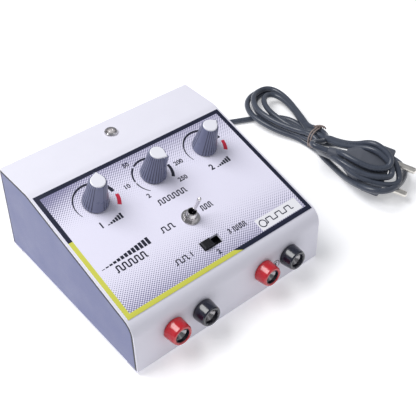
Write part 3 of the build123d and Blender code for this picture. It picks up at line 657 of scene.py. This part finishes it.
# Heights round a front turn, where it doesn't lie on the plug.
OVER_PLUG = [3.0, 7.0, 13.0, 15.0, 13.5, 18.0, 24.0, 17.0, 8.0]
PLUG_FACE = Vector((165.9, 17.7, 13.6))
PLUG_YAW = math.radians(-61.0)
PLUG_PITCH = math.radians(-10.0)
PLUG_ROLL = math.radians(34.6)
PLUG_LENGTH = 33.0
PLUG_HALF_WIDTH = (18.0, 13.5, 6.5)
PLUG_HALF_THICK = 7.0
CLEAR_OF_PLUG = 2.9              # from the plug's face to the axis of a strand that lies on it
# Per turn: how far it reaches, the distances of its two arms from its middle line, how far that line leans
# and bows sideways, how far its arms draw together, and how high it lies.
FRONT_TURNS = [
    dict(reach=80, first=12.5, second=12.5, lean=1.0, bow=-11.5, lift=0.0, heights=OVER_PLUG),
    dict(reach=75, first=9.5, second=9.5, lean=-2.0, bow=-13.0, lift=1.5, heights=OVER_PLUG),
    dict(reach=71, first=9.0, second=9.0, lean=0.0, bow=-10.0, lift=2.5, heights=OVER_PLUG),
]
REAR_TURNS = [
    dict(reach=80, first=20.5, second=26.5, lean=14, pull=0.1,
         heights=[2.6, 2.4, 2.4, 2.5, 3.5, 6.9, 7.0, 4.0, 2.6]),
    dict(reach=75, first=16.5, second=20.5, lean=14, pull=0.1,
         heights=[7.8, 3.5, 2.4, 2.6, 3.5, 6.6, 7.0, 5.5, 7.8]),
    dict(reach=76, first=15.5, second=22.0, lean=14, pull=0.1,
         heights=[13.0, 9.0, 7.0, 7.0, 8.0, 11.4, 11.5, 10.0, 13.0]),
    dict(reach=67, first=11.5, second=13.5, lean=12, pull=0.1,
         heights=[7.8, 7.5, 7.0, 7.0, 8.0, 11.0, 11.0, 9.0, 7.8]),
]
TURN_POINTS = 13
TURN_START = 40.0                # degrees round a turn from the tie where its own points begin
ROUNDNESS = 0.82                 # under 1 makes a turn's far end rounder
WIDEST = 0.77                    # the greatest value of sin(angle) * sin(angle / 2) round a turn


def eased(knots, share):
    """A smooth value along evenly spaced knots."""
    place = share * (len(knots) - 1)
    index = min(int(place), len(knots) - 2)
    part = (1 - math.cos(math.pi * (place - index))) / 2
    return knots[index] * (1 - part) + knots[index + 1] * part


def over_plug(x, y):
    """The height at which a strand crossing the plug at a place rests on it; it falls off beside it."""
    ahead = Vector((math.cos(PLUG_YAW) * math.cos(PLUG_PITCH),
                    math.sin(PLUG_YAW) * math.cos(PLUG_PITCH), math.sin(PLUG_PITCH)))
    level = Vector((-math.sin(PLUG_YAW), math.cos(PLUG_YAW), 0.0))
    above = ahead.cross(level)
    above *= math.copysign(1.0, above.z)
    across = level * math.cos(PLUG_ROLL) + above * math.sin(PLUG_ROLL)
    normal = above * math.cos(PLUG_ROLL) - level * math.sin(PLUG_ROLL)
    top = PLUG_FACE + normal * PLUG_HALF_THICK
    dx, dy = x - top.x, y - top.y
    scale = -ahead.x * across.y + ahead.y * across.x
    back = (dx * across.y - dy * across.x) / scale
    side = (-ahead.x * dy + ahead.y * dx) / scale
    held = min(PLUG_LENGTH, max(0.0, back))
    width = eased(PLUG_HALF_WIDTH, held / PLUG_LENGTH)
    near = min(width, max(-width, side))
    beside = math.hypot(back - held, side - near)
    return top.z - ahead.z * held + across.z * near + CLEAR_OF_PLUG - beside


def turn_points(way, reach, first, second, lean, heights, bow=0.0, pull=0.0, lift=0.0):
    """One turn from the tie out and back: way 1 to the rear, -1 to the front, where it lies on the plug."""
    points = []
    for i in range(TURN_POINTS):
        angle = math.radians(TURN_START + (360 - 2 * TURN_START) * i / (TURN_POINTS - 1))
        out = ((1 - math.cos(angle)) / 2) ** ROUNDNESS
        side = math.sin(angle)
        width = first if side > 0 else second
        across = way * width * side * math.sin(angle / 2) / WIDEST * (1 - pull * out)
        x = TIE[0] + across + lean * out * out + bow * math.sin(math.pi * out)
        y = TIE[1] + way * reach * out
        z = eased(heights, angle / math.tau) + lift * math.sin(angle / 2)
        points.append((x, y, max(z, over_plug(x, y) + lift) if way < 0 else z))
    return points


def tie_pass(index, along):
    """Where a strand passes the tie: its slot in the bundle, along in front of or behind the middle."""
    column, row = TIE_SLOTS[index]
    return (TIE[0] + column * TIE_PITCH, TIE[1] + along, LOWEST_ROW + row * TIE_PITCH)


def hank_route():
    """The whole lead: out of the case, through the tie, round the turns in front and behind, to the plug."""
    route = LEAD + INTO_TIE + [tie_pass(0, TIE_HALF), tie_pass(0, -TIE_HALF)]
    for k in range(len(REAR_TURNS)):
        route += OUTER_TURN if k == 0 else turn_points(-1, **FRONT_TURNS[k - 1])
        route += [tie_pass(2 * k + 1, -TIE_HALF), tie_pass(2 * k + 1, TIE_HALF)]
        route += turn_points(1, **REAR_TURNS[k])
        route += [tie_pass(2 * k + 2, TIE_HALF), tie_pass(2 * k + 2, -TIE_HALF)]
    return [at(*point) for point in route + TO_PLUG]


def tube(name, routes, radius, closed=False, resolution=8):
    """A round tube along smooth routes; each route is a list of points in metres."""
    data = bpy.data.curves.new(name, "CURVE")
    data.dimensions = "3D"
    data.bevel_depth = radius
    data.bevel_resolution = 4
    data.resolution_u = resolution
    data.use_fill_caps = True
    for route in routes:
        spline = data.splines.new("NURBS")
        spline.points.add(len(route) - 1)
        for point, target in zip(spline.points, route):
            point.co = (*target, 1.0)
        spline.order_u = 3
        spline.use_cyclic_u = closed
        spline.use_endpoint_u = not closed
    piece = bpy.data.objects.new(name, data)
    bpy.context.scene.collection.objects.link(piece)
    return piece


def tie_wrap(shift, slant):
    """One round of the tie's wire about the bundle."""
    half = TIE_SIZE / 2 + TIE_CLEAR
    squareness = 0.72
    loop = []
    for i in range(24):
        angle = math.tau * i / 24
        c, s = math.cos(angle), math.sin(angle)
        x = half * math.copysign(abs(c) ** squareness, c)
        z = half + 0.2 + (half - 0.3) * math.copysign(abs(s) ** squareness, s)
        loop.append(at(TIE[0] + x, TIE[1] + shift + slant * c, max(0.9, z)))
    return loop


def tie_tail(foot, run, phase):
    """One of the two wires twisted together that leave a place near the tie in the direction run."""
    steps, turns, radius, arch = 21, 2.6, 0.8, 1.6
    tail = []
    for i in range(steps + 1):
        share = i / steps
        angle = phase + share * math.tau * turns
        x = TIE[0] + foot[0] + run[0] * share
        y = TIE[1] + foot[1] + run[1] * share
        z = foot[2] + arch * math.sin(share * 2.8)
        tail.append(at(x, y + radius * math.cos(angle), z + radius * math.sin(angle)))
    return tail


def wire_tie():
    """Paper-covered wire wrapped twice round the bundle, its ends twisted together."""
    half = TIE_SIZE / 2 + TIE_CLEAR
    strands = [tie_wrap(0.2, 1.6), tie_wrap(2.0, 1.0)]
    wraps = tube("tie_wraps", strands, 0.62 * MM, closed=True, resolution=4)
    tails = []
    for foot, run in (((1.5, 4.2, 2 * half - 0.6), (5.0, -6.5)), ((-half + 0.8, 0.5, 5.0), (-1.0, -4.0))):
        tails += [tie_tail(foot, run, 0.0), tie_tail(foot, run, math.pi)]
    ends = tube("tie_twist", tails, 0.55 * MM, resolution=4)
    for piece in (wraps, ends):
        piece.data.materials.append(MATERIALS["tie_strip"])
        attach(piece, "root")
    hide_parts("hank_tie")
    return [wraps, ends]


def mains_cord():
    route = hank_route()
    cord = tube("mains_cord", [route], CORD / 2 * MM)
    cord.data.materials.append(MATERIALS["cord_sheath"])
    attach(cord, "root")
    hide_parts("mains_lead", "lead_hank")
    ["plug_body", "plug_pins", "strain_relief"] + wire_tie()


# ---------------------------------------------------------------- stage, light and camera
FLOOR_GLOW = 0.30
FLOOR_HALF = 3.0
SENSOR = 36.0


def floor():
    corners = [(x * FLOOR_HALF, y * FLOOR_HALF, 0.0) for x, y in ((-1, -1), (1, -1), (1, 1), (-1, 1))]
    mesh = bpy.data.meshes.new("floor")
    mesh.from_pydata(corners, [], [(0, 1, 2, 3)])
    piece = bpy.data.objects.new("floor", mesh)
    bpy.context.scene.collection.objects.link(piece)
    paper = surface("floor_paper", (0.93, 0.93, 0.945), 0.9, uneven=0.004, bump=0.0, gloss=0.1)
    glow = paper.node_tree.nodes["Principled BSDF"]
    glow.inputs["Emission Color"].default_value = (1.0, 1.0, 1.0, 1.0)
    glow.inputs["Emission Strength"].default_value = FLOOR_GLOW
    mesh.materials.append(paper)


def area_light(name, place, aim, size, power, color=(1.0, 1.0, 1.0)):
    data = bpy.data.lights.new(name, "AREA")
    data.shape = "RECTANGLE"
    data.size, data.size_y = size
    data.energy = power
    data.color = color
    lamp = bpy.data.objects.new(name, data)
    lamp.location = place
    lamp.rotation_euler = (Vector(aim) - Vector(place)).to_track_quat("-Z", "Y").to_euler()
    bpy.context.scene.collection.objects.link(lamp)


def lighting():
    world = bpy.data.worlds.new("studio")
    bpy.context.scene.world = world
    world.use_nodes = True
    back = world.node_tree.nodes["Background"]
    back.inputs["Color"].default_value = (0.93, 0.95, 1.0, 1.0)
    back.inputs["Strength"].default_value = 0.30
    area_light("key", (-0.45, 0.40, 1.05), (0.05, 0.0, 0.0), (0.9, 0.7), 13.5)
    area_light("fill", (0.5, -0.8, 0.9), (0.0, 0.0, 0.03), (0.9, 0.6), 0.8, (0.97, 0.98, 1.0))


def camera():
    back = Vector((math.sin(AZIMUTH) * math.cos(ELEVATION), -math.cos(AZIMUTH) * math.cos(ELEVATION),
                   math.sin(ELEVATION)))
    level = Vector((math.cos(AZIMUTH), math.sin(AZIMUTH), 0.0))
    upright = back.cross(level)
    right = level * math.cos(ROLL) + upright * math.sin(ROLL)
    up = back.cross(right)
    data = bpy.data.cameras.new("camera")
    data.lens = LENS
    data.sensor_width = SENSOR
    data.clip_start = 0.01
    data.clip_end = 20.0
    made = bpy.data.objects.new("camera", data)
    rotation = Matrix((right, up, back)).transposed().to_4x4()
    made.matrix_world = Matrix.Translation(TARGET + back * DISTANCE) @ rotation
    bpy.context.scene.collection.objects.link(made)
    bpy.context.scene.camera = made


dress_nodes()
print_border()
print_dials()
print_marks()
print_badge()
painted_gap_shadow("gap_shadow_left", -1)
painted_gap_shadow("gap_shadow_right", 1)
for number, x in enumerate(SOCKET_XS, 1):
    socket_recess_shade(number, x)
toggle_sleeve()
mains_cord()
floor()
lighting()
camera()
bpy.context.scene.view_settings.view_transform = "Standard"
